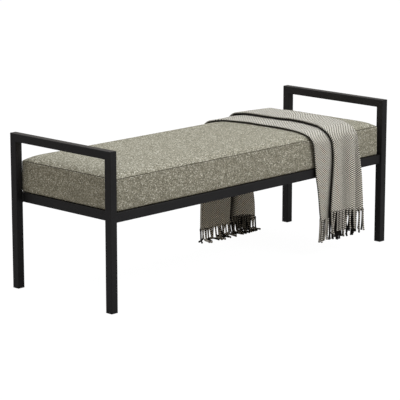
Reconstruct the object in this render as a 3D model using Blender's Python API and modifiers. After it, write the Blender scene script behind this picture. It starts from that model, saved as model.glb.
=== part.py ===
"""Upholstered entryway bench: a welded square-tube frame with two arm loops, a screwed-on seat pad,
and a folded throw that lies loose across the right end of the seat.

Metres, +Z up. The origin is on the floor under the middle of the bench, +X runs along the seat to
the right and the front faces -Y.
"""

import math

import bmesh
import bpy
from mathutils import Matrix, Vector

# Driving dimensions of the frame
BENCH_LENGTH = 1.508
BENCH_DEPTH = 0.5244
ARM_HEIGHT = 0.575
TUBE = 0.030
WALL = 0.0015
TUBE_CORNER = 0.002
RAIL_TOP = 0.355
RAIL_HEIGHT = 0.035
RAIL_WIDTH = 0.025
RAIL_SETBACK = 0.0066
BAR = 0.025
BAR_POSITIONS = (-0.36, 0.0, 0.36)
GUSSET_LEG = 0.070
GUSSET_THICKNESS = 0.003

# Glides, and the screws that hold the pad from below
GLIDE_PAD = 0.003
GLIDE_PLUG = 0.016
SCREW_RADIUS = 0.003
SCREW_HEAD_RADIUS = 0.0055
SCREW_HEAD_HEIGHT = 0.003
BAR_SCREW_Y = 0.150
GUSSET_SCREW_INSET = 0.026

# Seat pad
PAD_LENGTH = 1.4426
PAD_DEPTH = 0.502
SEAM_HEIGHT = 0.470
PAD_CORNER = 0.015
PAD_TOP_EDGE = 0.010
PAD_BOTTOM_EDGE = 0.004
CROWN_STEPS = ((0.016, 0.006), (0.035, 0.004), (0.060, 0.003))
COVER_THICKNESS = 0.002
COVER_FLANGE = 0.036
BOARD_THICKNESS = 0.012
BOARD_INSET = 0.006
DUST_COVER_THICKNESS = 0.0008

# Throw: two folds of cloth, one on the other, bent over the seat from front to back
THROW_LOWER = (0.320, 0.610)
THROW_UPPER = (0.440, 0.600)
THROW_PLY = 0.012
THROW_INNER_Y = 0.2582
THROW_TOP = 0.4868
THROW_BEND = 0.020
THROW_FRONT_END = 0.070
THROW_REAR_END = 0.004

GAP = 0.0003
ROUND_STEPS = 20

LEFT, RIGHT = -1, 1
FRONT, REAR = -1, 1

leg_x = BENCH_LENGTH / 2 - TUBE / 2
leg_y = BENCH_DEPTH / 2 - TUBE / 2
seat_frame_x = BENCH_LENGTH / 2 - TUBE - GAP
seat_frame_y = BENCH_DEPTH / 2 - RAIL_SETBACK
rail_inner_x = seat_frame_x - RAIL_WIDTH
rail_inner_y = seat_frame_y - RAIL_WIDTH
pad_bottom = RAIL_TOP + GAP
board_bottom = pad_bottom + COVER_THICKNESS + GAP
board_top = board_bottom + BOARD_THICKNESS
gusset_screw_x = rail_inner_x - GUSSET_SCREW_INSET
gusset_screw_y = rail_inner_y - GUSSET_SCREW_INSET

for old in list(bpy.data.objects):
    bpy.data.objects.remove(old, do_unlink=True)

bench = bpy.data.collections.new("entryway_bench")
cutters = bpy.data.collections.new("cutters")
bpy.context.scene.collection.children.link(bench)
bpy.context.scene.collection.children.link(cutters)


def finish(name, colour, roughness, metallic=0.0):
    material = bpy.data.materials.new(name)
    material.use_nodes = True
    shader = material.node_tree.nodes["Principled BSDF"]
    shader.inputs["Base Color"].default_value = (*colour, 1.0)
    shader.inputs["Roughness"].default_value = roughness
    shader.inputs["Metallic"].default_value = metallic
    material.diffuse_color = (*colour, 1.0)
    return material


powder_coat = finish("black_powder_coat", (0.020, 0.019, 0.019), 0.45)
glide_plastic = finish("black_glide_plastic", (0.012, 0.012, 0.012), 0.5)
zinc = finish("zinc_plated_steel", (0.55, 0.55, 0.53), 0.35, 1.0)
plywood = finish("birch_plywood", (0.55, 0.40, 0.24), 0.7)
foam = finish("polyurethane_foam", (0.75, 0.70, 0.52), 0.95)
upholstery = finish("taupe_boucle", (0.32, 0.29, 0.24), 0.95)
lining = finish("black_lining", (0.02, 0.02, 0.02), 0.9)
wool = finish("grey_beige_wool", (0.45, 0.42, 0.38), 0.95)


def add(name, bm, material, collection=bench):
    """Turns a bmesh into a named object in its collection."""
    mesh = bpy.data.meshes.new(name)
    bm.to_mesh(mesh)
    bm.free()
    mesh.materials.append(material)
    obj = bpy.data.objects.new(name, mesh)
    collection.objects.link(obj)
    return obj


def smooth(obj):
    obj.data.shade_smooth()
    obj.data.set_sharp_from_angle(angle=math.radians(35))


def hide(cutter):
    cutter.hide_render = True
    cutter.display_type = "WIRE"


def combine(obj, other, operation):
    boolean = obj.modifiers.new(other.name, "BOOLEAN")
    boolean.solver = "EXACT"
    boolean.operation = operation
    boolean.object = other


def block(size, centre=(0, 0, 0)):
    bm = bmesh.new()
    bmesh.ops.create_cube(bm, size=1, matrix=Matrix.Translation(centre) @ Matrix.Diagonal((*size, 1)))
    return bm


def parallel_edges(bm, axis):
    """The edges that run along one axis: 0, 1 or 2 for X, Y or Z."""
    across = [i for i in range(3) if i != axis]
    return [e for e in bm.edges if all(abs((e.verts[0].co - e.verts[1].co)[i]) < 1e-6 for i in across)]


def square_tube(name, length, across, deep, centre, along, outer, mitres=(False, False)):
    """A hollow tube with rounded corners, whose long side faces `outer` where its ends are mitred."""
    bm = block((across, deep, length))
    bmesh.ops.delete(bm, geom=[f for f in bm.faces if abs(f.normal.z) > 0.9], context="FACES_ONLY")
    bmesh.ops.bevel(bm, geom=parallel_edges(bm, 2), offset=TUBE_CORNER, segments=3, profile=0.5, affect="EDGES")
    bmesh.ops.recalc_face_normals(bm, faces=bm.faces)
    bmesh.ops.solidify(bm, geom=bm.faces[:], thickness=WALL)
    for vert in bm.verts:
        inward = deep / 2 - vert.co.y + GAP * math.sqrt(0.5)
        if mitres[1] and vert.co.z > 0:
            vert.co.z -= inward
        if mitres[0] and vert.co.z < 0:
            vert.co.z += inward
    tube = add(name, bm, powder_coat)
    along, outer = Vector(along), Vector(outer)
    tube.location = centre
    tube.rotation_euler = Matrix((outer.cross(along), outer, along)).transposed().to_euler()
    smooth(tube)
    return tube


def end_frame(name, side):
    """Two legs and the arm rail between their tops, mitred where they meet."""
    x = side * leg_x
    leg_bottom = GLIDE_PAD + GAP
    leg_length = ARM_HEIGHT - leg_bottom
    for row, end in (("front", FRONT), ("rear", REAR)):
        centre = (x, end * leg_y, leg_bottom + leg_length / 2)
        square_tube(f"leg_{row}_{name}", leg_length, TUBE, TUBE, centre, (0, 0, 1), (0, end, 0), (False, True))
    arm_centre = (x, 0, ARM_HEIGHT - TUBE / 2)
    square_tube(f"arm_rail_{name}", BENCH_DEPTH, TUBE, TUBE, arm_centre, (0, 1, 0), (0, 0, 1), (True, True))


def seat_frame():
    """Four mitred rails with bars across, their tops level, so that the pad lies flat on them."""
    z = RAIL_TOP - RAIL_HEIGHT / 2
    mitred = (True, True)
    for row, end in (("front", FRONT), ("rear", REAR)):
        centre = (0, end * (seat_frame_y - RAIL_WIDTH / 2), z)
        square_tube(f"seat_rail_{row}", 2 * seat_frame_x, RAIL_HEIGHT, RAIL_WIDTH, centre, (1, 0, 0), (0, end, 0), mitred)
    for name, side in (("left", LEFT), ("right", RIGHT)):
        centre = (side * (seat_frame_x - RAIL_WIDTH / 2), 0, z)
        square_tube(f"seat_rail_{name}", 2 * seat_frame_y, RAIL_HEIGHT, RAIL_WIDTH, centre, (0, 1, 0), (side, 0, 0), mitred)
    for number, x in enumerate(BAR_POSITIONS, start=1):
        centre = (x, 0, RAIL_TOP - BAR / 2)
        length = 2 * (rail_inner_y - GAP)
        bar = square_tube(f"cross_bar_{number}", length, BAR, BAR, centre, (0, 1, 0), (0, 0, 1))
        combine(bar, screw_holes, "DIFFERENCE")
    for row, end in (("front", FRONT), ("rear", REAR)):
        for name, side in (("left", LEFT), ("right", RIGHT)):
            gusset(f"gusset_{row}_{name}", side, end)


def gusset(name, side, end):
    """A triangular plate in a corner of the seat frame, level with the rails' top."""
    centre = (-GUSSET_LEG / 2, -GUSSET_LEG / 2, 0)
    bm = block((GUSSET_LEG, GUSSET_LEG, GUSSET_THICKNESS), centre)
    diagonal = Vector((-GUSSET_LEG / 2, -GUSSET_LEG / 2, 0))
    bmesh.ops.bisect_plane(bm, geom=bm.verts[:] + bm.edges[:] + bm.faces[:], plane_co=diagonal,
                           plane_no=(-1, -1, 0), clear_outer=True)
    bmesh.ops.holes_fill(bm, edges=bm.edges)
    bmesh.ops.scale(bm, verts=bm.verts, vec=(side, end, 1))
    bmesh.ops.recalc_face_normals(bm, faces=bm.faces)
    bmesh.ops.translate(bm, verts=bm.verts, vec=(side * (rail_inner_x - GAP), end * (rail_inner_y - GAP),
                                                 RAIL_TOP - GUSSET_THICKNESS / 2))
    combine(add(name, bm, powder_coat), screw_holes, "DIFFERENCE")


def screw_places():
    """Name, place and head seat height of each screw that comes up into the seat board."""
    places = []
    for row, end in (("front", FRONT), ("rear", REAR)):
        for name, side in (("left", LEFT), ("right", RIGHT)):
            places.append((f"pad_screw_{row}_{name}", side * gusset_screw_x, end * gusset_screw_y,
                           RAIL_TOP - GUSSET_THICKNESS))
        for number, x in enumerate(BAR_POSITIONS, start=1):
            places.append((f"pad_screw_{row}_bar_{number}", x, end * BAR_SCREW_Y, RAIL_TOP - BAR))
    return places


def drill_pad_screw_holes():
    bm = bmesh.new()
    depth = BOARD_THICKNESS + BAR + 0.04
    for _, x, y, _ in screw_places():
        bmesh.ops.create_cone(bm, cap_ends=True, segments=ROUND_STEPS, radius1=SCREW_RADIUS + GAP,
                              radius2=SCREW_RADIUS + GAP, depth=depth, matrix=Matrix.Translation((x, y, RAIL_TOP)))
    cutter = add("pad_screw_holes", bm, zinc, cutters)
    hide(cutter)
    return cutter


def pad_screw(name, x, y, seat_height):
    """A turned button-head screw: its profile spun round Z."""
    head_top = seat_height - GAP
    head_bottom = head_top - SCREW_HEAD_HEIGHT
    tip = board_top - 0.002
    profile = ((0, tip), (SCREW_RADIUS, tip), (SCREW_RADIUS, head_top), (SCREW_HEAD_RADIUS, head_top),
               (SCREW_HEAD_RADIUS, head_bottom + 0.001), (SCREW_HEAD_RADIUS - 0.0015, head_bottom), (0, head_bottom))
    bm = bmesh.new()
    verts = [bm.verts.new((radius, 0, z)) for radius, z in profile]
    for a, b in zip(verts, verts[1:]):
        bm.edges.new((a, b))
    obj = add(name, bm, zinc)
    obj.location = (x, y, 0)
    spin = obj.modifiers.new("turned", "SCREW")
    spin.steps = spin.render_steps = ROUND_STEPS
    spin.use_merge_vertices = True
    spin.merge_threshold = 0.0001
    return obj


def glide(name, x, y):
    """A plastic foot: a pad under the leg's end with a plug that pushes up into the tube."""
    pad_size = TUBE - 0.001
    plug_size = TUBE - 2 * WALL - 2 * GAP
    bm = block((pad_size, pad_size, GLIDE_PAD), (0, 0, GLIDE_PAD / 2))
    top = [f for f in bm.faces if f.normal.z > 0.9]
    bmesh.ops.inset_region(bm, faces=top, thickness=(pad_size - plug_size) / 2, use_even_offset=True)
    raised = bmesh.ops.extrude_discrete_faces(bm, faces=top)["faces"]
    bmesh.ops.translate(bm, verts=raised[0].verts[:], vec=(0, 0, GLIDE_PLUG))
    obj = add(name, bm, glide_plastic)
    obj.location = (x, y, 0)
    return obj


def pad_form(half_x, half_y, bottom, seam, corner, top_edge, bottom_edge):
    """A boxed cushion's outer shape: rounded corners and edges, flat below and crowned on top."""
    bm = block((2 * half_x, 2 * half_y, seam - bottom), (0, 0, (seam + bottom) / 2))
    bmesh.ops.bevel(bm, geom=parallel_edges(bm, 2), offset=corner, segments=4, profile=0.5, affect="EDGES")
    for normal, width, segments in ((1, top_edge, 3), (-1, bottom_edge, 2)):
        cap = [f for f in bm.faces if f.normal.z * normal > 0.9][0]
        bmesh.ops.bevel(bm, geom=cap.edges[:], offset=width, segments=segments, profile=0.5, affect="EDGES")
    top = [f for f in bm.faces if f.normal.z > 0.99][0]
    edge = top_edge
    for inset, rise in CROWN_STEPS:
        top = shrunken_face(bm, top, half_x, half_y, edge, edge + inset)
        bmesh.ops.translate(bm, verts=top.verts[:], vec=(0, 0, rise))
        edge += inset
    return bm


def shrunken_face(bm, face, half_x, half_y, before, after):
    """Extrudes a flat face in its own plane and draws it in, from one distance off the rim to another."""
    inner = bmesh.ops.extrude_discrete_faces(bm, faces=[face])["faces"][0]
    ratio = ((half_x - after) / (half_x - before), (half_y - after) / (half_y - before), 1)
    bmesh.ops.scale(bm, verts=inner.verts[:], vec=ratio)
    return inner


def seat_pad():
    """Plywood board, foam and a stapled cover with a lining underneath."""
    half_x, half_y = PAD_LENGTH / 2, PAD_DEPTH / 2

    bm = pad_form(half_x, half_y, pad_bottom, SEAM_HEIGHT, PAD_CORNER, PAD_TOP_EDGE, PAD_BOTTOM_EDGE)
    bottom = [f for f in bm.faces if f.normal.z < -0.99][0]
    opening = shrunken_face(bm, bottom, half_x, half_y, PAD_BOTTOM_EDGE, COVER_FLANGE)
    bmesh.ops.delete(bm, geom=[opening], context="FACES")
    cover = add("cushion_cover", bm, upholstery)
    shell = cover.modifiers.new("cloth", "SOLIDIFY")
    shell.thickness = COVER_THICKNESS
    shell.offset = -1
    shell.use_even_offset = True
    smooth(cover)

    clear = COVER_THICKNESS + 2 * GAP
    block_core = pad_form(half_x - clear, half_y - clear, board_top + GAP, SEAM_HEIGHT - clear,
                          PAD_CORNER - clear, PAD_TOP_EDGE - clear, PAD_BOTTOM_EDGE)
    smooth(add("foam_core", block_core, foam))

    board_size = (2 * (half_x - BOARD_INSET), 2 * (half_y - BOARD_INSET), BOARD_THICKNESS)
    bm = block(board_size, (0, 0, board_bottom + BOARD_THICKNESS / 2))
    bmesh.ops.bevel(bm, geom=parallel_edges(bm, 2), offset=PAD_CORNER - 0.003, segments=4, profile=0.5, affect="EDGES")
    combine(add("seat_board", bm, plywood), screw_holes, "DIFFERENCE")

    lining_size = (2 * (half_x - COVER_FLANGE - 2 * GAP), 2 * (half_y - COVER_FLANGE - 2 * GAP), DUST_COVER_THICKNESS)
    bm = block(lining_size, (0, 0, board_bottom - GAP - DUST_COVER_THICKNESS / 2))
    bmesh.ops.bevel(bm, geom=parallel_edges(bm, 2), offset=PAD_CORNER, segments=4, profile=0.5, affect="EDGES")
    combine(add("dust_cover", bm, lining), screw_holes, "DIFFERENCE")


def throw_strip(name, x_range, inner, thickness, collection):
    """One fold of the throw: a strip up the front, over the seat and down the back, then thickened."""
    y = THROW_INNER_Y + inner
    top = THROW_TOP + inner
    bend = THROW_BEND + inner
    quarter = [i * math.pi / 8 for i in range(5)]
    front = [(-y + bend - bend * math.cos(a), top - bend + bend * math.sin(a)) for a in quarter]
    path = [(-y, THROW_FRONT_END), *front, *[(-py, z) for py, z in reversed(front)], (y, THROW_REAR_END)]
    bm = bmesh.new()
    edges = [[bm.verts.new((x, py, z)) for py, z in path] for x in x_range]
    for i in range(len(path) - 1):
        bm.faces.new((edges[0][i], edges[1][i], edges[1][i + 1], edges[0][i + 1]))
    strip = add(name, bm, wool, collection)
    cloth = strip.modifiers.new("folded cloth", "SOLIDIFY")
    cloth.thickness = thickness
    cloth.offset = 1
    cloth.use_even_offset = True
    return strip


def throw():
    overlap = 0.001
    lower = throw_strip("throw", THROW_LOWER, 0, THROW_PLY, bench)
    upper = throw_strip("throw_upper_fold", THROW_UPPER, THROW_PLY - overlap, THROW_PLY + overlap, cutters)
    hide(upper)
    combine(lower, upper, "UNION")


screw_holes = drill_pad_screw_holes()
end_frame("left", LEFT)
end_frame("right", RIGHT)
seat_frame()
for row, end in (("front", FRONT), ("rear", REAR)):
    for name, side in (("left", LEFT), ("right", RIGHT)):
        glide(f"glide_{row}_{name}", side * leg_x, end * leg_y)
seat_pad()
for place in screw_places():
    pad_screw(*place)
throw()
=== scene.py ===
"""An upholstered entryway bench: black powder-coated tube frame, boucle seat pad, folded wool throw."""
import math
import random

import bmesh
import bpy
import numpy as np
from mathutils import Matrix, Vector, noise


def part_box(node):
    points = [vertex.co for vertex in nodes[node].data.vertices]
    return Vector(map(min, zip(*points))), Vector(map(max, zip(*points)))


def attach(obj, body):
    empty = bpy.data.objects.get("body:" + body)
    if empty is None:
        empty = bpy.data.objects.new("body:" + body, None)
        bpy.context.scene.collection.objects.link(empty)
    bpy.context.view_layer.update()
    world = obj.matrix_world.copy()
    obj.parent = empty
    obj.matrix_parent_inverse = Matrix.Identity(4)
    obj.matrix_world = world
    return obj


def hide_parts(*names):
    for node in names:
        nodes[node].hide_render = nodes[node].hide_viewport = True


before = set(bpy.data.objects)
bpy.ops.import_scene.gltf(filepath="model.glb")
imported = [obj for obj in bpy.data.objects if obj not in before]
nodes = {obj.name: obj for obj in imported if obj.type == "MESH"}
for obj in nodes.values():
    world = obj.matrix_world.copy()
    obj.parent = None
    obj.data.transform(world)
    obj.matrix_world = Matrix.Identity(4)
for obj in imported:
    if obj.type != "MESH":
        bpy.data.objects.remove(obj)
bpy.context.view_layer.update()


# The view: past the left front corner, a little above the seat, through a long lens.
bpy.context.scene.view_settings.view_transform = "Standard"
bpy.ops.object.camera_add(location=(-5.2150, -4.9974, 1.8480))
camera = bpy.context.object
camera.name = "view_camera"
camera.rotation_euler = (math.radians(90 - 12.495), 0, math.radians(-45.991))
camera.data.sensor_width = 36
camera.data.lens = 174.7
camera.data.clip_end = 60
bpy.context.scene.camera = camera


# The tube frame: 30 mm square tube for the legs and arms, 35 x 25 mm for the seat rails, all mild steel
# welded and ground, then powder coated satin black. The coat gives a fine orange peel that breaks up
# the highlights and a slightly warmer, duller film where it lies thin.
def linear(hex_colour, alpha=1.0):
    """An sRGB hex colour as linear values for a shader socket."""
    parts = [int(hex_colour[i:i + 2], 16) / 255 for i in (1, 3, 5)]
    return tuple(p / 12.92 if p <= 0.04045 else ((p + 0.055) / 1.055) ** 2.4 for p in parts) + (alpha,)


def new_material(name):
    """A material with nodes, its shader and its node tree."""
    material = bpy.data.materials.new(name)
    material.use_nodes = True
    return material, material.node_tree.nodes["Principled BSDF"], material.node_tree


def add_node(tree, kind, sockets=None, **settings):
    """Adds a node, sets its properties, and fills or links its input sockets by name or number."""
    made = tree.nodes.new("ShaderNode" + kind)
    for key, value in settings.items():
        setattr(made, key, value)
    for key, value in (sockets or {}).items():
        socket = made.inputs[key]
        if isinstance(value, bpy.types.NodeSocket):
            tree.links.new(value, socket)
        else:
            socket.default_value = value
    return made


def ramp(tree, fac, stops):
    """A colour ramp with (position, hex colour) stops."""
    made = add_node(tree, "ValToRGB", {"Fac": fac})
    elements = made.color_ramp.elements
    while len(elements) < len(stops):
        elements.new(0.5)
    for element, (position, colour) in zip(elements, stops):
        element.position = position
        element.color = linear(colour)
    return made.outputs["Color"]


ORANGE_PEEL_MM = 1.6
COAT_PATCH_MM = 60

powder_coat, shader, tree = new_material("satin_black_powder_coat")
place = add_node(tree, "TexCoord").outputs["Object"]
patches = add_node(tree, "TexNoise", {"Vector": place, "Scale": 1000 / COAT_PATCH_MM, "Detail": 3.0})
peel = add_node(tree, "TexNoise", {"Vector": place, "Scale": 1000 / ORANGE_PEEL_MM, "Detail": 2.0})
film = ramp(tree, patches.outputs["Fac"], ((0.3, "#161515"), (0.7, "#1c1b1b")))
dullness = add_node(tree, "MapRange", {"Value": patches.outputs["Fac"], "From Min": 0.3, "From Max": 0.7,
                                       "To Min": 0.42, "To Max": 0.52})
bump = add_node(tree, "Bump", {"Height": peel.outputs["Fac"], "Strength": 0.25, "Distance": 0.0004})
tree.links.new(film, shader.inputs["Base Color"])
tree.links.new(dullness.outputs["Result"], shader.inputs["Roughness"])
tree.links.new(bump.outputs["Normal"], shader.inputs["Normal"])
shader.inputs["Specular IOR Level"].default_value = 0.25


def dress(node_names, material):
    """Gives CAD nodes their finish."""
    for name in node_names:
        nodes[name].data.materials.clear()
        nodes[name].data.materials.append(material)


tubes = [n for n in nodes if n.startswith(("leg_", "arm_rail_", "seat_rail_", "cross_bar_", "gusset_"))]
dress(tubes, powder_coat)


# The welds: the mitres of the arms and of the seat frame are welded round and ground, so that the filler
# shows as a hairline a little proud of the tube. Inside and below, plain fillet beads are left as laid.
MITRE_LINE, MITRE_PROUD = 0.0005, 0.00012
TUBE_CORNER = 0.002
BEAD_RADIUS, BEAD_RIPPLES, BEAD_PITCH = 0.0024, 12, 0.0020
LONG_BEAD, SHORT_BEAD = (1.2, 1, 1), (0.8, 1, 1)
GUSSET_BEAD_PLACE = 0.032


def deselect_all():
    bpy.ops.object.select_all(action="DESELECT")


def place_in_mesh(obj):
    """Moves an object's place, turn and scale into its mesh, so that it sits at the origin."""
    deselect_all()
    obj.select_set(True)
    bpy.context.view_layer.objects.active = obj
    bpy.ops.object.transform_apply(location=True, rotation=True, scale=True)


def select_edges(obj, wanted):
    """In edit mode: selects the edges for which wanted(a, b) holds, given their ends' places."""
    mesh = bmesh.from_edit_mesh(obj.data)
    for part in (*mesh.faces, *mesh.edges, *mesh.verts):
        part.select_set(False)
    for edge in mesh.edges:
        if wanted(edge.verts[0].co, edge.verts[1].co):
            edge.select_set(True)
    bmesh.update_edit_mesh(obj.data)


def joined(name, pieces):
    """Joins pieces into one object of that name, with its place in its mesh."""
    deselect_all()
    for piece in pieces:
        piece.select_set(True)
    bpy.context.view_layer.objects.active = pieces[0]
    bpy.ops.object.join()
    pieces[0].name = name
    place_in_mesh(pieces[0])
    return pieces[0]


def copied(model, place, turn, stretch=(1, 1, 1)):
    """A copy of a modelled piece, with its own mesh, put at a place."""
    copy = model.copy()
    copy.data = model.data.copy()
    copy.location, copy.rotation_euler, copy.scale = place, turn, stretch
    bpy.context.scene.collection.objects.link(copy)
    place_in_mesh(copy)
    return copy


def mitre_seam(place, across, deep, side, mitre):
    """The ground filler in a mitre: a thin plate with the tube's rounded corners, turned into the joint."""
    deselect_all()
    size = (across + 2 * MITRE_PROUD, deep + 2 * MITRE_PROUD, MITRE_LINE)
    bpy.ops.mesh.primitive_cube_add(size=1, scale=size)
    seam = bpy.context.object
    place_in_mesh(seam)
    bpy.ops.object.mode_set(mode="EDIT")
    select_edges(seam, lambda a, b: abs(a.z - b.z) > MITRE_LINE / 2)
    bpy.ops.mesh.bevel(offset=TUBE_CORNER, segments=4)
    bpy.ops.object.mode_set(mode="OBJECT")
    side, mitre = Vector(side).normalized(), Vector(mitre).normalized()
    seam.location, seam.scale = place, (1, math.sqrt(2), 1)
    seam.rotation_euler = Matrix((side, mitre, side.cross(mitre))).transposed().to_euler()
    place_in_mesh(seam)
    return seam


def weld_bead():
    """A fillet bead along X: overlapping ripples, as the torch was moved on."""
    ripples = []
    for i in range(BEAD_RIPPLES):
        deselect_all()
        place = ((i - (BEAD_RIPPLES - 1) / 2) * BEAD_PITCH, 0, 0)
        bpy.ops.mesh.primitive_uv_sphere_add(segments=8, ring_count=5, radius=BEAD_RADIUS, location=place)
        ripples.append(bpy.context.object)
    return joined("weld_bead", ripples)


leg_low, leg_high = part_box("leg_rear_right")
rail_low, rail_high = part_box("seat_rail_rear")
tube, rail_width = leg_high.x - leg_low.x, rail_high.y - rail_low.y
rail_x, rail_y, rail_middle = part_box("seat_rail_right")[1].x, rail_high.y, (rail_low.z + rail_high.z) / 2
inner_x, inner_y = rail_x - rail_width, rail_y - rail_width
gusset_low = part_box("gusset_rear_right")[0]
bead = weld_bead()
lengthways, crossways, upright = (0, 0, 0), (0, 0, math.pi / 2), (0, math.pi / 2, 0)
seams, beads = [], []
for end in (-1, 1):
    for row in (-1, 1):
        arm_corner = (end * (leg_low.x + tube / 2), row * (leg_low.y + tube / 2), leg_high.z - tube / 2)
        seams.append(mitre_seam(arm_corner, tube, tube, (1, 0, 0), (0, row, 1)))
        rail_corner = (end * (rail_x - rail_width / 2), row * (rail_y - rail_width / 2), rail_middle)
        seams.append(mitre_seam(rail_corner, rail_high.z - rail_low.z, rail_width, (0, 0, 1), (end, row, 0)))
        under_rail = (end * rail_x, row * (leg_low.y + rail_y) / 2, rail_low.z)
        beads.append(copied(bead, (end * rail_x, row * leg_low.y, rail_middle), upright, LONG_BEAD))
        beads.append(copied(bead, under_rail, crossways, SHORT_BEAD))
        along_rail = (end * (inner_x - GUSSET_BEAD_PLACE), row * inner_y, gusset_low.z)
        across_rail = (end * inner_x, row * (inner_y - GUSSET_BEAD_PLACE), gusset_low.z)
        beads.append(copied(bead, along_rail, lengthways))
        beads.append(copied(bead, across_rail, crossways))
for bar_name in ("cross_bar_1", "cross_bar_2", "cross_bar_3"):
    bar_low, bar_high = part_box(bar_name)
    bar_middle = (bar_low + bar_high) / 2
    for row in (-1, 1):
        beads.append(copied(bead, (bar_middle.x, row * inner_y, bar_low.z), lengthways, SHORT_BEAD))
        for side_x in (bar_low.x, bar_high.x):
            beads.append(copied(bead, (side_x, row * inner_y, bar_middle.z), upright, SHORT_BEAD))
bpy.data.objects.remove(bead)
welds = joined("mitre_seams", seams), joined("fillet_welds", beads)
bpy.ops.object.shade_smooth_by_angle(angle=math.radians(40))
for weld in welds:
    weld.data.materials.append(powder_coat)
    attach(weld, "bench")


# The glides: moulded black polyethylene pads plugged into the legs, with the fine matt grain of the tool.
GLIDE_GRAIN_MM = 0.9
glide_plastic, shader, tree = new_material("moulded_black_polyethylene")
place = add_node(tree, "TexCoord").outputs["Object"]
grain = add_node(tree, "TexNoise", {"Vector": place, "Scale": 1000 / GLIDE_GRAIN_MM, "Detail": 2.0})
bump = add_node(tree, "Bump", {"Height": grain.outputs["Fac"], "Strength": 0.3, "Distance": 0.0002})
moulded = ramp(tree, grain.outputs["Fac"], ((0.3, "#121212"), (0.7, "#1c1c1b")))
tree.links.new(moulded, shader.inputs["Base Color"])
tree.links.new(bump.outputs["Normal"], shader.inputs["Normal"])
shader.inputs["Roughness"].default_value = 0.55
dress([n for n in nodes if n.startswith("glide_")], glide_plastic)


# The pad's screws: zinc-plated button heads with a hex socket, driven up through the bars and gussets into
# the seat board. The bright plating is mottled by a faint grey bloom.
HEAD_HEIGHT, HEAD_RIM, HEAD_SIDES = 0.003, 0.0014, 32
HEX_RADIUS, HEX_DEPTH = 0.0023, 0.0018
SHANK_RADIUS, SHANK_SIDES = 0.0029, 16
SCREW_TURN = 0.7
BLOOM_MM = 2.5
zinc, shader, tree = new_material("zinc_plated_steel")
place = add_node(tree, "TexCoord").outputs["Object"]
bloom = add_node(tree, "TexNoise", {"Vector": place, "Scale": 1000 / BLOOM_MM, "Detail": 3.0}).outputs["Fac"]
tree.links.new(ramp(tree, bloom, ((0.3, "#a3a29c"), (0.7, "#c6c5bf"))), shader.inputs["Base Color"])
tree.links.new(add_node(tree, "MapRange", {"Value": bloom, "To Min": 0.25, "To Max": 0.45}).outputs["Result"],
               shader.inputs["Roughness"])
shader.inputs["Metallic"].default_value = 1.0


def button_head_screw(radius, length):
    """A button-head screw that points up from the origin, where the head's top face lies."""
    deselect_all()
    bpy.ops.mesh.primitive_cylinder_add(vertices=HEAD_SIDES, radius=radius, depth=HEAD_HEIGHT,
                                        location=(0, 0, -HEAD_HEIGHT / 2))
    head = bpy.context.object
    place_in_mesh(head)
    bpy.ops.object.mode_set(mode="EDIT")
    select_edges(head, lambda a, b: max(a.z, b.z) < -HEAD_HEIGHT / 2)
    bpy.ops.mesh.bevel(offset=HEAD_RIM, segments=4)
    bpy.ops.object.mode_set(mode="OBJECT")
    deselect_all()
    bpy.ops.mesh.primitive_cylinder_add(vertices=6, radius=HEX_RADIUS, depth=2 * HEX_DEPTH,
                                        location=(0, 0, -HEAD_HEIGHT))
    key = bpy.context.object
    socket = head.modifiers.new("hex_socket", "BOOLEAN")
    socket.operation, socket.solver, socket.object = "DIFFERENCE", "EXACT", key
    bpy.context.view_layer.objects.active = head
    bpy.ops.object.modifier_apply(modifier="hex_socket")
    bpy.data.objects.remove(key)
    deselect_all()
    bpy.ops.mesh.primitive_cylinder_add(vertices=SHANK_SIDES, radius=SHANK_RADIUS, depth=length,
                                        location=(0, 0, length / 2 - HEAD_HEIGHT / 3))
    return joined("button_head_screw", [head, bpy.context.object])


screw_nodes = [n for n in nodes if n.startswith("pad_screw_")]
screw_low, screw_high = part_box(screw_nodes[0])
model = button_head_screw((screw_high.x - screw_low.x) / 2, screw_high.z - screw_low.z - HEAD_HEIGHT)
for name in screw_nodes:
    screw_low, screw_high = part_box(name)
    middle = (screw_low + screw_high) / 2
    screw = copied(model, (middle.x, middle.y, screw_low.z + HEAD_HEIGHT), (0, 0, SCREW_TURN * middle.x))
    screw.name = name + "_turned"
    screw.data.materials.append(zinc)
    bpy.ops.object.shade_smooth_by_angle(angle=math.radians(35))
    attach(screw, "bench")
    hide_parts(name)
bpy.data.objects.remove(model)


# The seat board: 12 mm birch plywood, nine plies, with the long grain of its face along the bench.
VENEER_MM, GRAIN_MM, GRAIN_STRETCH = 1.33, 3.0, 0.06
plywood, shader, tree = new_material("birch_plywood")
place = add_node(tree, "TexCoord").outputs["Object"]
stretched = add_node(tree, "Mapping", {"Vector": place, "Scale": (GRAIN_STRETCH, 1, 1)}).outputs["Vector"]
grain = add_node(tree, "TexNoise", {"Vector": stretched, "Scale": 1000 / GRAIN_MM, "Detail": 4.0})
height = add_node(tree, "SeparateXYZ", {"Vector": place}).outputs["Z"]
layers = add_node(tree, "Math", {0: height, 1: math.pi * 1000 / VENEER_MM}, operation="MULTIPLY").outputs[0]
glue = add_node(tree, "Math", {0: layers}, operation="SINE").outputs[0]
wood = add_node(tree, "Math", {0: glue, 1: 0.25, 2: grain.outputs["Fac"]}, operation="MULTIPLY_ADD")
tree.links.new(ramp(tree, wood.outputs[0], ((0.2, "#a98757"), (0.8, "#d3b588"))), shader.inputs["Base Color"])
shader.inputs["Roughness"].default_value = 0.7
dress(["seat_board"], plywood)


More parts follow.
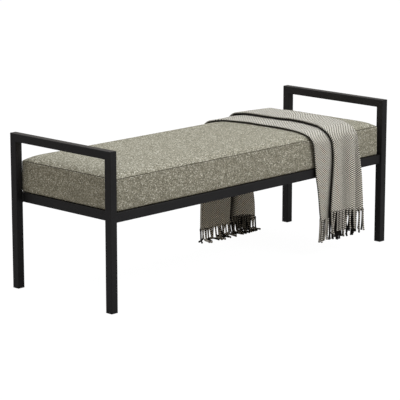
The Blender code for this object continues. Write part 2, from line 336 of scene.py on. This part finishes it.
# The dust cover: thin black spunbond cloth over the opening under the pad, slightly slack, and stapled to
# the seat board all round its edge with galvanised wire staples.
FIBRE_MM, SLACK_MM = 1.4, 55
STAPLE_SIZE, STAPLE_EDGE = (0.010, 0.0012, 0.0007), 0.0002
STAPLE_INSET, STAPLE_PITCH, STAPLE_END, STAPLE_SKEW = 0.006, 0.045, 0.03, 0.15
lining, shader, tree = new_material("black_spunbond_lining")
place = add_node(tree, "TexCoord").outputs["Object"]
fibres = add_node(tree, "TexNoise", {"Vector": place, "Scale": 1000 / FIBRE_MM, "Detail": 4.0}).outputs["Fac"]
slack = add_node(tree, "TexNoise", {"Vector": place, "Scale": 1000 / SLACK_MM, "Detail": 1.0}).outputs["Fac"]
tree.links.new(ramp(tree, fibres, ((0.3, "#141414"), (0.7, "#242322"))), shader.inputs["Base Color"])
fine = add_node(tree, "Bump", {"Height": fibres, "Strength": 0.4, "Distance": 0.0003}).outputs["Normal"]
waves = add_node(tree, "Bump", {"Height": slack, "Strength": 0.6, "Distance": 0.006, "Normal": fine})
tree.links.new(waves.outputs["Normal"], shader.inputs["Normal"])
shader.inputs["Roughness"].default_value = 0.9
dress(["dust_cover"], lining)

lining_low, lining_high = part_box("dust_cover")
deselect_all()
bpy.ops.mesh.primitive_cube_add(size=1, scale=STAPLE_SIZE)
staple = bpy.context.object
place_in_mesh(staple)
bpy.ops.object.mode_set(mode="EDIT")
bpy.ops.mesh.select_all(action="SELECT")
bpy.ops.mesh.bevel(offset=STAPLE_EDGE, segments=1)
bpy.ops.object.mode_set(mode="OBJECT")
staples = []
hand = random.Random(3)
for axis, other in ((0, 1), (1, 0)):
    reach, line = lining_high[axis] - STAPLE_END, lining_high[other] - STAPLE_INSET
    count = round(2 * reach / STAPLE_PITCH)
    for i in range(count + 1):
        for side in (-1, 1):
            spot = [0, 0, lining_low.z - STAPLE_SIZE[2] / 3]
            spot[axis], spot[other] = reach * (2 * i / count - 1), side * line
            turn = axis * math.pi / 2 + hand.uniform(-STAPLE_SKEW, STAPLE_SKEW)
            staples.append(copied(staple, spot, (0, 0, turn)))
bpy.data.objects.remove(staple)
staple_row = joined("lining_staples", staples)
staple_row.data.materials.append(zinc)
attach(staple_row, "bench")


# The seat pad: a foam block on a plywood board, pulled tight into a boucle cover that is stapled under
# the board. The top panel is sewn to the side band along one seam that runs right round the top edge.
# The crown rises from that seam, and a cloth simulation swells the sides between the corners.
PAD_SEAM_Z = 0.4695
PAD_CORNER = 0.016
PAD_CROWN = 0.0225
CROWN_ENDS, CROWN_SIDES = 0.022, 0.020
CROWN_FLAT, CROWN_REST = 0.0180, 0.30
PAD_SHRINK = 0.0015
PAD_TUCK = 0.009
PAD_VOXEL = 0.0062
PAD_HELD, PAD_FOOT, PAD_UPRIGHT, PAD_TOP_BAND = 0.004, 0.001, 0.05, 0.002
PAD_SWELL = 0.014
SIDE_SHARE, TOP_SHARE, SINK_SHARE = 0.16, 0.04, 0.10
SEAM_DEPTH, SEAM_WIDTH = 0.0018, 0.0014
SEAM_LEVELS = (-2.4, -1.4, -0.6, 0, 0.6, 1.4, 2.4)
OPENING_GAP, OPENING_DEPTH = 0.0003, 0.0002
pad_low, pad_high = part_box("cushion_cover")
pad_bottom = pad_low.z


def swell(obj):
    """Runs the cloth simulation and returns how far each point moved, with its foot held."""
    before = np.array([v.co for v in obj.data.vertices])
    held = obj.vertex_groups.new(name="stapled")
    held.add([i for i, p in enumerate(before) if p[2] < pad_bottom + PAD_HELD], 1.0, "REPLACE")
    cloth = obj.modifiers.new("cover", "CLOTH")
    cloth.settings.use_pressure = True
    cloth.settings.uniform_pressure_force = 4.0
    cloth.settings.quality = 4
    cloth.settings.mass = 0.3
    cloth.settings.tension_stiffness = 40
    cloth.settings.compression_stiffness = 40
    cloth.settings.bending_stiffness = 2.0
    cloth.settings.vertex_group_mass = held.name
    cloth.settings.effector_weights.gravity = 0
    cloth.collision_settings.use_collision = False
    for step in range(1, 21):
        bpy.context.scene.frame_set(step)
    after = obj.evaluated_get(bpy.context.evaluated_depsgraph_get()).to_mesh()
    moved = np.array([v.co for v in after.vertices]) - before
    obj.modifiers.remove(cloth)
    obj.vertex_groups.remove(held)
    bpy.context.scene.frame_set(1)
    far = np.linalg.norm(moved, axis=1, keepdims=True)
    return moved * np.minimum(1.0, PAD_SWELL / np.maximum(far, 1e-9))


def crown(x, y):
    """How far the top panel rises over its seam at a place, levelling off towards the middle."""
    ends = max(0.0, pad_high.x - PAD_SHRINK - abs(x))
    sides = max(0.0, pad_high.y - PAD_SHRINK - abs(y))
    rise = PAD_CROWN * (1 - math.exp(-ends / CROWN_ENDS)) * (1 - math.exp(-sides / CROWN_SIDES))
    return min(rise, CROWN_FLAT + (rise - CROWN_FLAT) * CROWN_REST)


deselect_all()
pad_size = Vector((pad_high.x - pad_low.x - 2 * PAD_SHRINK, pad_high.y - pad_low.y - 2 * PAD_SHRINK,
                   PAD_SEAM_Z - pad_bottom))
bpy.ops.mesh.primitive_cube_add(size=1, location=(0, 0, pad_bottom + pad_size.z / 2), scale=pad_size)
pad = bpy.context.object
pad.name = "seat_pad_cover"
place_in_mesh(pad)
bpy.ops.object.mode_set(mode="EDIT")
select_edges(pad, lambda a, b: abs(a.z - b.z) > PAD_UPRIGHT)
bpy.ops.mesh.bevel(offset=PAD_CORNER, segments=6)
select_edges(pad, lambda a, b: max(a.z, b.z) < pad_bottom + PAD_FOOT)
bpy.ops.mesh.bevel(offset=PAD_TUCK, segments=4)
bpy.ops.object.mode_set(mode="OBJECT")
pad.data.remesh_voxel_size = PAD_VOXEL
bpy.ops.object.voxel_remesh()
for vert in pad.data.vertices:
    if vert.co.z > PAD_SEAM_Z - PAD_TOP_BAND:
        vert.co.z += crown(vert.co.x, vert.co.y)
moved = swell(pad)
moved[:, :2] *= SIDE_SHARE
moved[:, 2] *= np.where(moved[:, 2] > 0, TOP_SHARE, SINK_SHARE)
for vert, shift in zip(pad.data.vertices, moved):
    vert.co += Vector(shift)

# The seam: the cover is cut in at seven levels round its top edge, drawn in along the middle one, and the
# groove is marked with a painted shade for the cloth's colour.
bpy.ops.object.mode_set(mode="EDIT")
for level in SEAM_LEVELS:
    bpy.ops.mesh.select_all(action="SELECT")
    bpy.ops.mesh.bisect(plane_co=(0, 0, PAD_SEAM_Z + level * SEAM_WIDTH), plane_no=(0, 0, 1))
bpy.ops.object.mode_set(mode="OBJECT")
outward = [vert.normal.copy() for vert in pad.data.vertices]
# A painted shade along the seam's groove, kept as a point attribute for the cloth's colour.
painted_seam_shade = pad.data.attributes.new("painted_seam_shade", "FLOAT", "POINT")
for i, (vert, normal) in enumerate(zip(pad.data.vertices, outward)):
    off = (vert.co.z - PAD_SEAM_Z) / SEAM_WIDTH
    inward = Vector((-normal.x, -normal.y, 0))
    if abs(off) < 3 and inward.length > 0.2:
        vert.co += inward.normalized() * SEAM_DEPTH * math.exp(-off * off)
        painted_seam_shade.data[i].value = math.exp(-1.5 * off * off)
    vert.co.z = max(vert.co.z, pad_bottom)

# The opening under the pad: the cover's flange leaves the middle open, and the dust cover closes it.
opening_low, opening_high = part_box("dust_cover")
opening_low -= Vector((OPENING_GAP, OPENING_GAP, 0))
opening_high += Vector((OPENING_GAP, OPENING_GAP, 0))
bpy.ops.object.mode_set(mode="EDIT")
for corner, way in ((opening_low, (1, 0, 0)), (opening_low, (0, 1, 0)), (opening_high, (1, 0, 0)),
                    (opening_high, (0, 1, 0))):
    bpy.ops.mesh.select_all(action="SELECT")
    bpy.ops.mesh.bisect(plane_co=corner, plane_no=way)
mesh = bmesh.from_edit_mesh(pad.data)
for part in (*mesh.faces, *mesh.edges, *mesh.verts):
    part.select_set(False)
for face in mesh.faces:
    place = face.calc_center_median()
    if (place.z < pad_bottom + PAD_FOOT and opening_low.x < place.x < opening_high.x
            and opening_low.y < place.y < opening_high.y):
        face.select_set(True)
bmesh.update_edit_mesh(pad.data)
recess = opening_high.z + OPENING_DEPTH - pad_bottom
bpy.ops.mesh.extrude_region_move(TRANSFORM_OT_translate={"value": (0, 0, recess)})
bpy.ops.object.mode_set(mode="OBJECT")
deselect_all()
pad.select_set(True)
bpy.context.view_layer.objects.active = pad
bpy.ops.object.shade_smooth_by_angle(angle=math.radians(50))

# Its boucle: looped taupe yarn with paler slubs; the palest loops every few millimetres also stand in as a
# painted highlight where a loop catches the light.
LOOP_MM = 2.8
boucle, shader, tree = new_material("taupe_boucle")
place = add_node(tree, "TexCoord").outputs["Object"]
loops = add_node(tree, "TexVoronoi", {"Vector": place, "Scale": 1000 / LOOP_MM, "Randomness": 1.0})
pick = add_node(tree, "SeparateColor", {"Color": loops.outputs["Color"]}).outputs["Red"]
yarn = ramp(tree, pick, ((0.0, "#676353"), (0.5, "#8e8976"), (0.85, "#a6a18f"), (1.0, "#dfdac7")))
# The seam's groove gets a painted shade in the cloth's colour.
seam_shade_mask = add_node(tree, "Attribute", attribute_name="painted_seam_shade").outputs["Fac"]
yarn_with_seam_shade = add_node(tree, "Mix", {0: seam_shade_mask, 6: yarn, 7: linear("#3f3b31")}, data_type="RGBA").outputs[2]
tree.links.new(yarn_with_seam_shade, shader.inputs["Base Color"])
bump = add_node(tree, "Bump", {"Height": loops.outputs["Distance"], "Strength": 0.8, "Distance": 0.0014},
                invert=True)
tree.links.new(bump.outputs["Normal"], shader.inputs["Normal"])
shader.inputs["Roughness"].default_value = 1.0
shader.inputs["Specular IOR Level"].default_value = 0.1
pad.data.materials.append(boucle)
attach(pad, "bench")
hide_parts("cushion_cover", "foam_core")


# The throw: one wool blanket folded lengthwise into four plies, so that it shows two soft folds along its
# left side, then laid across the seat from front to back. The plies hang apart below the seat.
THROW_CLOTH = 0.0028
SEAT_FACE = 0.2583
THROW_SEAT_Z = 0.4893
THROW_ARCH = 0.0015
BEND_REACH, BEND_DROP, BEND_POWER = 0.075, 0.0475, 2.8
PLY_HEIGHTS = (0.0016, 0.0088, 0.0128, 0.0212)
PLY_STEPS, NOSE_STEPS = (14, 28, 16, 24), 9
LEFT_NOSE, RIGHT_NOSE, SECOND_SINKS, TOP_SINKS = 0.005, 0.003, 0.002, 0.005
FOLD_TUCK = 0.010
# Painted light and shade on the throw: grooves darker, ridges and rear plies lighter, shade under folds and
# in the rear arch.
GROOVE_SHADE, RIDGE_LIGHT = 34, 8
REAR_FIRST_LIGHT, REAR_SECOND_LIGHT = 1.22, 1.25
UNDER_FOLD_WIDTH, UNDER_FOLD_SPREAD = 0.009, 0.014
ARCH_PLACE, ARCH_WIDTH, ARCH_SHADE = 0.485, 0.035, 0.85
TAIL_ROWS, BEND_ROWS, SEAT_ROWS = 44, 22, 40

# How far the blanket has come over the bench: 0 front hem, 1 front edge of the seat, 2 on the seat,
# 3 leaving the seat, 4 rear edge, 5 rear hem. Each list gives the place along X of one edge there.
LOWER_FOLD = ((0, 0.351), (0.2, 0.343), (0.4, 0.336), (0.6, 0.324), (0.8, 0.317), (1, 0.310), (1.4, 0.301),
              (1.7, 0.297), (1.9, 0.298), (2.05, 0.309), (2.3, 0.318), (2.5, 0.317), (2.8, 0.310), (3, 0.293),
              (3.2, 0.262), (3.5, 0.252), (4, 0.246), (4.5, 0.240), (5, 0.237))
FREE_EDGE = ((0, 0.50), (1, 0.50), (2, 0.51), (3, 0.50), (4, 0.440), (4.4, 0.423), (5, 0.405))
RIGHT_FOLD = ((0, 0.590), (0.3, 0.587), (0.6, 0.582), (0.8, 0.574), (1, 0.566), (1.3, 0.555), (1.7, 0.548),
              (2, 0.566), (2.3, 0.584), (3, 0.586), (3.4, 0.575), (4, 0.530), (4.3, 0.509), (4.5, 0.521),
              (4.7, 0.546), (4.85, 0.558), (5, 0.561))
UPPER_FOLD = ((0, 0.392), (0.3, 0.400), (0.6, 0.407), (0.85, 0.410), (1, 0.406), (1.2, 0.399), (1.5, 0.391),
              (1.8, 0.396), (2, 0.412), (2.2, 0.430), (2.4, 0.436), (2.55, 0.422), (3, 0.421), (3.2, 0.405),
              (3.5, 0.400), (4, 0.410), (5, 0.42))
TOP_EDGE = ((0, 0.592), (0.6, 0.584), (1, 0.568), (1.3, 0.557), (1.7, 0.551), (2, 0.570), (2.3, 0.587),
            (3, 0.588), (3.4, 0.576), (4, 0.528), (4.3, 0.504), (4.6, 0.520), (5, 0.548))

# The heights of the hems by the share of the cloth's width from the free edge: the first ply ends at 0.12,
# the second runs from 0.21 to 0.46, and the top ply starts at 0.78.
FRONT_HEM = ((0, 0.150), (0.15, 0.153), (0.4, 0.148), (0.6, 0.165), (0.75, 0.180), (0.9, 0.176), (1, 0.160))
REAR_HEM = ((0, 0.045), (0.16, 0.049), (0.22, 0.045), (0.30, 0.052), (0.38, 0.068), (0.44, 0.060),
            (0.50, 0.044), (1, 0.036))

# The soft ridges and grooves of the tails: place along X, height, and width. The first ply stays flat.
FRONT_RIDGES = ((0.375, 0.004, 0.016), (0.432, 0.006, 0.018), (0.485, -0.008, 0.024), (0.527, 0.010, 0.010),
                (0.557, -0.011, 0.018), (0.590, 0.006, 0.009))
REAR_RIDGES = ((0.370, 0.008, 0.045), (0.445, -0.004, 0.020), (0.497, -0.008, 0.045))
FIRST_PLY_SHARE = 0.13


def along(points, t):
    """A smooth curve through (place, value) points, level beyond both ends."""
    if t <= points[0][0]:
        return points[0][1]
    for i, ((t0, v0), (t1, v1)) in enumerate(zip(points, points[1:])):
        if t <= t1:
            before, after = points[max(i - 1, 0)], points[min(i + 2, len(points) - 1)]
            gap = t1 - t0
            rise0 = gap * (v1 - before[1]) / (t1 - before[0])
            rise1 = gap * (after[1] - v0) / (after[0] - t0)
            u = (t - t0) / gap
            return ((1 + 2 * u) * (1 - u) ** 2 * v0 + u * (1 - u) ** 2 * rise0
                    + u * u * (3 - 2 * u) * v1 + u * u * (u - 1) * rise1)
    return points[-1][1]


def over_bench(t, height, front_hem, rear_hem):
    """The (y, z) of a point of the blanket at a height above the bench's outline."""
    bend_y, bend_z = SEAT_FACE - BEND_REACH, THROW_SEAT_Z - BEND_DROP
    if t < 1:
        return -SEAT_FACE - height, front_hem + (bend_z - front_hem) * t
    if t > 4:
        return SEAT_FACE + height, bend_z + (rear_hem - bend_z) * (t - 4)
    if 2 <= t <= 3:
        y = bend_y * (2 * (t - 2) - 1)
        return y, THROW_SEAT_Z + THROW_ARCH * (1 - (y / bend_y) ** 2) + height
    side, turned = (-1, t - 1) if t < 2 else (1, 4 - t)
    level = max(0.0, math.cos(turned * math.pi / 2)) ** (2 / BEND_POWER)
    rise = max(0.0, math.sin(turned * math.pi / 2)) ** (2 / BEND_POWER)
    out = Vector((level ** (BEND_POWER - 1) / BEND_REACH, rise ** (BEND_POWER - 1) / BEND_DROP)).normalized()
    return side * (bend_y + BEND_REACH * level + height * out.x), bend_z + BEND_DROP * rise + height * out.y


def plies(t):
    """The folded blanket's section at t: (x, height, painted light) from its free edge to its top edge."""
    lower, free, right = along(LOWER_FOLD, t), along(FREE_EDGE, t), along(RIGHT_FOLD, t)
    upper, top = along(UPPER_FOLD, t), along(TOP_EDGE, t)
    first, second, third, fourth = PLY_HEIGHTS
    tuck = FOLD_TUCK * min(1.0, max(0.0, (3.9 - t) / 0.6))
    section = []

    def ply(x0, x1, h0, h1, steps, face=1.0, shades=()):
        """A flat run of cloth whose painted light is face, with painted shade about the places where another
        edge lies close over it.
        """
        for i in range(steps):
            x = x0 + (x1 - x0) * (i + 0.5) / steps
            light = face
            for centre, width, depth in shades:
                light *= 1.0 - depth * math.exp(-((x - centre) / width) ** 2)
            section.append((x, h0 + (h1 - h0) * (i + 0.5) / steps, light))

    def fold(x, low, high, side, tucked):
        """A fold's round nose on the left (side -1) or right, its underside tucked in, with painted shade
        there as deep as the tuck.
        """
        half = (high - low) / 2
        for i in range(NOSE_STEPS):
            angle = math.pi * (i / (NOSE_STEPS - 1) - 0.5)
            reach = half * math.cos(angle) - tucked * max(0.0, -math.sin(angle)) ** 1.5
            # Painted shade on the tucked underside of the nose.
            light = 1.0 - 0.995 * (tucked / FOLD_TUCK) * min(1.0, max(0.0, (7 - i) / 3))
            section.append((x + side * (reach - half), low + half + half * math.sin(angle), light))

    # Painted shade under the upper fold, beside the rear free edge and inside the rear arch; the rear plies
    # get a painted lift.
    rear = t > 4
    fold_painted_shade = (upper + 0.007, UNDER_FOLD_WIDTH + UNDER_FOLD_SPREAD * max(0.0, 1 - t), 99 * tuck)
    free_edge_painted_shade = (free + 0.010, 0.020, 0.96 * rear)
    arch_painted_shade = (ARCH_PLACE, ARCH_WIDTH, ARCH_SHADE * (t > 4.7))
    ply(free, lower + LEFT_NOSE + tuck, first, first, PLY_STEPS[0], REAR_FIRST_LIGHT if rear else 1.0)
    fold(lower, first, second, -1, tuck)
    ply(lower + LEFT_NOSE, right - RIGHT_NOSE, second, second - SECOND_SINKS, PLY_STEPS[1],
        REAR_SECOND_LIGHT if rear else 1.0, (fold_painted_shade, free_edge_painted_shade))
    fold(right, second - SECOND_SINKS, third, 1, 0)
    ply(right - RIGHT_NOSE, upper + LEFT_NOSE + tuck, third, third, PLY_STEPS[2], 1.0, (arch_painted_shade,))
    fold(upper, third, fourth, -1, tuck)
    ply(upper + LEFT_NOSE, top, fourth, fourth - TOP_SINKS, PLY_STEPS[3])
    return section


def ripple(t, x, share):
    """How far the outer plies' soft ridge stands out, or their groove lies in, at a place on a tail."""
    if share < FIRST_PLY_SHARE:
        return 0.0
    ridges, start = (FRONT_RIDGES, 1.25 - t) if t < 2.5 else (REAR_RIDGES, t - 4)
    swing = sum(h * math.exp(-((x - place) / width) ** 2) for place, h, width in ridges)
    return swing * math.sin(min(max(start, 0.0), 0.65) / 0.65 * math.pi / 2)


def blanket_point(t, x, height, share):
    """Where a point of the section lies: the tails spread, ripple and sway a little."""
    spread = height * (1 + 0.3 * max(0.0, 1 - t, t - 4)) + ripple(t, x, share)
    wave = 0.0012 * noise.noise(Vector((x * 14, t * 5, 3.0)))
    y, z = over_bench(t, spread + wave, along(FRONT_HEM, share), along(REAR_HEM, share))
    return Vector((x, y, z))


rows = ([i / TAIL_ROWS for i in range(TAIL_ROWS)] + [1 + i / BEND_ROWS for i in range(BEND_ROWS)]
        + [2 + i / SEAT_ROWS for i in range(SEAT_ROWS)] + [3 + i / BEND_ROWS for i in range(BEND_ROWS)]
        + [4 + i / TAIL_ROWS for i in range(TAIL_ROWS + 1)])
sections = [plies(t) for t in rows]
columns = len(sections[0])
points = [[blanket_point(t, x, h, j / (columns - 1)) for j, (x, h, _) in enumerate(section)]
          for t, section in zip(rows, sections)]
# Painted shade in the tails' grooves, deeper on the front tail, and a painted highlight on the ridges, by how
# far they stand out.
lights = []
for t, section in zip(rows, sections):
    swings = [ripple(t, x, j / (columns - 1)) for j, (x, _, _) in enumerate(section)]
    lights.append([light * (1 + (GROOVE_SHADE if swing < 0 and t < 2 else RIDGE_LIGHT) * swing)
                   for (_, _, light), swing in zip(section, swings)])
across, length = [0.0], [0.0]
for a, b in zip(points[len(rows) // 2], points[len(rows) // 2][1:]):
    across.append(across[-1] + (b - a).length)
for row, below in zip(points[1:], points):
    length.append(length[-1] + (row[columns - 4] - below[columns - 4]).length)

bm = bmesh.new()
uv_layer = bm.loops.layers.uv.new("cloth")
light_layer = bm.verts.layers.float_color.new("painted_light")
grid = []
for row, shades in zip(points, lights):
    grid.append([bm.verts.new(place) for place in row])
    for vert, light in zip(grid[-1], shades):
        vert[light_layer] = (light, light, light, 1)
for i in range(len(grid) - 1):
    for j in range(columns - 1):
        corners = ((i, j), (i + 1, j), (i + 1, j + 1), (i, j + 1))
        face = bm.faces.new([grid[a][b] for a, b in corners])
        face.smooth = True
        for loop, (a, b) in zip(face.loops, corners):
            loop[uv_layer].uv = (across[b], length[a])
throw_mesh = bpy.data.meshes.new("throw_cloth")
bm.to_mesh(throw_mesh)
bm.free()
throw = bpy.data.objects.new("throw_cloth", throw_mesh)
bpy.context.scene.collection.objects.link(throw)
thickness = throw.modifiers.new("wool", "SOLIDIFY")
thickness.thickness = THROW_CLOTH
thickness.offset = 0

# The fringe: at both hems the warp ends are twisted together into tassels, one every 15 mm of cloth. The
# rear ones reach the floor and splay out on it.
TASSEL_GAP = 0.015
TASSEL_LENGTH = 0.090
TASSEL_RADIUS = 0.0034
TASSEL_ROWS, TASSEL_SIDES = 16, 8
FLOOR_BEND, FLOOR_REST = 0.0055, 0.0042
rng = random.Random(7)


def tassel(bm, layers, top, lean, light):
    """One twisted tassel from the hem down; where it meets the floor it lies along it."""
    light_layer, uv_layer = layers
    length = TASSEL_LENGTH * rng.uniform(0.92, 1.05)
    bend = Vector((rng.uniform(-1, 1), rng.uniform(-1, 1), 0)) * 0.02
    place, way = top + Vector((0, 0, 0.004)), Vector((lean.x, lean.y, -1)).normalized()
    step = length / (TASSEL_ROWS - 1)
    rings = []
    for i in range(TASSEL_ROWS):
        s = i / (TASSEL_ROWS - 1)
        knot, flare = 0.35 * math.exp(-((s - 0.06) / 0.05) ** 2), 0.2 * max(0, s - 0.9) / 0.1
        radius = TASSEL_RADIUS * (1.0 + knot + flare)
        side = way.cross(Vector((0.3, 1, 0.1))).normalized()
        other = way.cross(side)
        ring = []
        for k in range(TASSEL_SIDES):
            angle = 2 * math.pi * k / TASSEL_SIDES
            vert = bm.verts.new(place + radius * (side * math.cos(angle) + other * math.sin(angle)))
            vert[light_layer] = (light, light, light, 1)
            ring.append(vert)
        rings.append(ring)
        way = (way + bend * (0.3 + s)).normalized()
        if place.z + way.z * step < FLOOR_BEND:
            flat = Vector((way.x, -abs(way.y), 0)) + lean * 0.6 + bend
            flat = flat.normalized() if flat.length > 1e-4 else Vector((1, 0, 0))
            way = (flat + Vector((0, 0, max(-0.7, (FLOOR_REST - place.z) / step)))).normalized()
        place = place + way * step
    for i in range(TASSEL_ROWS - 1):
        for k in range(TASSEL_SIDES):
            ring, below, after = rings[i], rings[i + 1], (k + 1) % TASSEL_SIDES
            face = bm.faces.new((ring[k], below[k], below[after], ring[after]))
            face.smooth = True
            for loop, (a, b) in zip(face.loops, ((k, i), (k, i + 1), (k + 1, i + 1), (k + 1, i))):
                loop[uv_layer].uv = (a / TASSEL_SIDES, b * step)
    bm.faces.new(rings[0])
    bm.faces.new(list(reversed(rings[-1])))


def fringe(name, hem, shades, lean):
    """A row of tassels along a hem."""
    bm = bmesh.new()
    layers = bm.verts.layers.float_color.new("painted_light"), bm.loops.layers.uv.new("yarn")
    walked, due = 0.0, TASSEL_GAP / 2
    for a, b, light in zip(hem, hem[1:], shades):
        stretch = (b - a).length
        while due <= walked + stretch:
            jitter = Vector((rng.uniform(-1, 1), rng.uniform(-1, 1), 0)) * 0.0012
            top = a.lerp(b, (due - walked) / stretch) + jitter
            tassel(bm, layers, top, lean(), light)
            due += TASSEL_GAP
        walked += stretch
    bmesh.ops.recalc_face_normals(bm, faces=bm.faces)
    mesh = bpy.data.meshes.new(name)
    bm.to_mesh(mesh)
    bm.free()
    obj = bpy.data.objects.new(name, mesh)
    bpy.context.scene.collection.objects.link(obj)
    return obj


def front_lean():
    return Vector((rng.uniform(-0.035, 0.02), rng.uniform(-0.04, 0.02), 0))


def rear_lean():
    return Vector((rng.uniform(-0.20, 0.12), rng.uniform(-0.26, -0.04), 0))


# The tassels of the plies that hang behind another get painted shade for the shade they lie in, and the
# open ones painted light, some lifted above 1. The section's points count from the free edge: the first
# ply's come before 14, the second's run from 24 to 50, and the top ply's come after 84.
FIRST_PLY_END, FIRST_NOSE_END = 14, 20
SECOND_PLY_START, SECOND_PLY_END = 24, 50
TOP_NOSE_START, TOP_PLY_START = 78, 84
FRONT_CLEAR_X, REAR_HALF_CLEAR_X, REAR_CLEAR_X = 0.388, 0.42, 0.52


def front_light(j, x):
    """The painted light on a front tassel that hangs from point j of the section, with painted shade where
    another ply hangs in front.
    """
    if j > TOP_NOSE_START or x < FRONT_CLEAR_X:
        return 1.0
    return 0.5 if j < FIRST_PLY_END else 0.04


def rear_light(j, x):
    """The painted light on a rear tassel that hangs from point j of the section, with painted shade where
    another ply covers it.
    """
    second = SECOND_PLY_START <= j <= SECOND_PLY_END
    if j < FIRST_NOSE_END or (second and x > REAR_CLEAR_X):
        return 1.15
    if second and x > REAR_HALF_CLEAR_X:
        return 0.3
    return 0.9 if j > TOP_PLY_START else 0.08


front_lights = [front_light(j, place.x) for j, place in enumerate(points[0])]
rear_lights = [rear_light(j, place.x) for j, place in enumerate(points[-1])]
front_fringe = fringe("throw_fringe_front", points[0], front_lights, front_lean)
rear_fringe = fringe("throw_fringe_rear", points[-1], rear_lights, rear_lean)

# The wool: a basket weave of pale and dark grey-brown yarn, each check about 5 mm, brushed to a soft sheen.
CHECK_WARP_MM, CHECK_WEFT_MM = 5.5, 4.2
wool, shader, tree = new_material("basket_weave_wool")
shader.inputs["Roughness"].default_value = 0.9
shader.inputs["Specular IOR Level"].default_value = 0.08
shader.inputs["Sheen Weight"].default_value = 0.04
cloth_uv = add_node(tree, "UVMap", uv_map="cloth").outputs["UV"]
parts = add_node(tree, "SeparateXYZ", {"Vector": cloth_uv})
waves = []
for axis, check in (("X", CHECK_WARP_MM), ("Y", CHECK_WEFT_MM)):
    turns = add_node(tree, "Math", {0: parts.outputs[axis], 1: math.pi * 1000 / check}, operation="MULTIPLY")
    waves.append(add_node(tree, "Math", {0: turns.outputs[0]}, operation="SINE").outputs[0])
warp, weft = waves
checks = add_node(tree, "Math", {0: warp, 1: weft}, operation="MULTIPLY").outputs[0]
level = add_node(tree, "MapRange", {"Value": checks, "From Min": -0.2, "From Max": 0.2}).outputs["Result"]
weave = ramp(tree, level, ((0.0, "#100c07"), (0.5, "#7b7465"), (1.0, "#eee8d7")))
# The weave's colour times the painted light and shade kept in the mesh.
shade = add_node(tree, "VertexColor", layer_name="painted_light").outputs["Color"]
colour_with_painted_light = add_node(tree, "Mix", {0: 1.0, 6: weave, 7: shade}, data_type="RGBA", blend_type="MULTIPLY").outputs[2]
tree.links.new(colour_with_painted_light, shader.inputs["Base Color"])
bump = add_node(tree, "Bump", {"Height": level, "Strength": 0.3, "Distance": 0.0008})
tree.links.new(bump.outputs["Normal"], shader.inputs["Normal"])
throw_mesh.materials.append(wool)

# The tassels' yarn: two strands twisted hard, so that it shows a rope's slanting lines every 8 mm.
TWIST_MM = 8.0
rope, shader, tree = new_material("twisted_wool_yarn")
shader.inputs["Roughness"].default_value = 0.95
shader.inputs["Specular IOR Level"].default_value = 0.1
parts = add_node(tree, "SeparateXYZ", {"Vector": add_node(tree, "UVMap", uv_map="yarn").outputs["UV"]})
climb = add_node(tree, "Math", {0: parts.outputs["Y"], 1: 1000 / TWIST_MM, 2: parts.outputs["X"]},
                 operation="MULTIPLY_ADD").outputs[0]
strand = add_node(tree, "Math", {0: climb, 1: 2 * math.pi}, operation="MULTIPLY").outputs[0]
wave = add_node(tree, "Math", {0: strand}, operation="SINE").outputs[0]
ridge = add_node(tree, "MapRange", {"Value": wave, "From Min": -1.0, "From Max": 1.0}).outputs["Result"]
twist = ramp(tree, ridge, ((0.0, "#0f0c07"), (0.5, "#6d6759"), (1.0, "#f4eddf")))
# The twist's colour times the tassels' painted light and shade.
shade = add_node(tree, "VertexColor", layer_name="painted_light").outputs["Color"]
colour_with_painted_light = add_node(tree, "Mix", {0: 1.0, 6: twist, 7: shade}, data_type="RGBA", blend_type="MULTIPLY").outputs[2]
tree.links.new(colour_with_painted_light, shader.inputs["Base Color"])
bump = add_node(tree, "Bump", {"Height": ridge, "Strength": 0.6, "Distance": 0.001})
tree.links.new(bump.outputs["Normal"], shader.inputs["Normal"])
for part in (front_fringe, rear_fringe):
    part.data.materials.append(rope)
for part in (throw, front_fringe, rear_fringe):
    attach(part, "throw")
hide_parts("throw")


# The studio: a white floor under a white room, a key light from the front and a soft top light. The floor
# and the room look white but throw back less light than that, so the shade stays deep.
bpy.ops.object.select_all(action="DESELECT")
bpy.ops.mesh.primitive_plane_add(size=40)
floor = bpy.context.object
floor.name = "studio_floor"
paint, shader, tree = new_material("studio_white")
shader.inputs["Base Color"].default_value = (0.35, 0.35, 0.35, 1)
shader.inputs["Roughness"].default_value = 1.0
shader.inputs["Specular IOR Level"].default_value = 0.0
glow = add_node(tree, "Emission", {"Color": (1, 1, 1, 1), "Strength": 0.975})
faint = add_node(tree, "BsdfDiffuse", {"Color": (0.06, 0.06, 0.06, 1)})
lit = add_node(tree, "AddShader", {0: faint.outputs[0], 1: glow.outputs[0]})
seen = add_node(tree, "LightPath").outputs["Is Camera Ray"]
mixed = add_node(tree, "MixShader", {0: seen, 1: shader.outputs[0], 2: lit.outputs[0]})
tree.links.new(mixed.outputs[0], tree.nodes["Material Output"].inputs["Surface"])
floor.data.materials.append(paint)

world = bpy.data.worlds.new("studio_room")
bpy.context.scene.world = world
world.use_nodes = True
tree = world.node_tree
room = tree.nodes["Background"]
seen = add_node(tree, "LightPath").outputs["Is Camera Ray"]
facing = add_node(tree, "TexCoord").outputs["Generated"]
height = add_node(tree, "SeparateXYZ", {"Vector": facing}).outputs["Z"]
tree.links.new(ramp(tree, height, ((0.1, "#fff1dd"), (0.7, "#f2f6ff"))), room.inputs["Color"])
tree.links.new(add_node(tree, "MapRange", {"Value": seen, "To Min": 0.70, "To Max": 1.0}).outputs["Result"],
               room.inputs["Strength"])


def softbox(name, place, target, size, power):
    """A round area light on a stand."""
    bpy.ops.object.light_add(type="AREA", location=place)
    lamp = bpy.context.object
    lamp.name = name
    lamp.data.shape = "DISK"
    lamp.data.size = size
    lamp.data.energy = power
    lamp.data.color = linear("#eff5ff")[:3]
    lamp.rotation_euler = (Vector(target) - Vector(place)).to_track_quat("-Z", "Y").to_euler()


softbox("key_light", (0.6, -3.6, 3.2), (0, 0, 0.4), 1.6, 87)
softbox("top_light", (-0.5, 0.5, 4.5), (0, 0, 0.4), 3.0, 106)
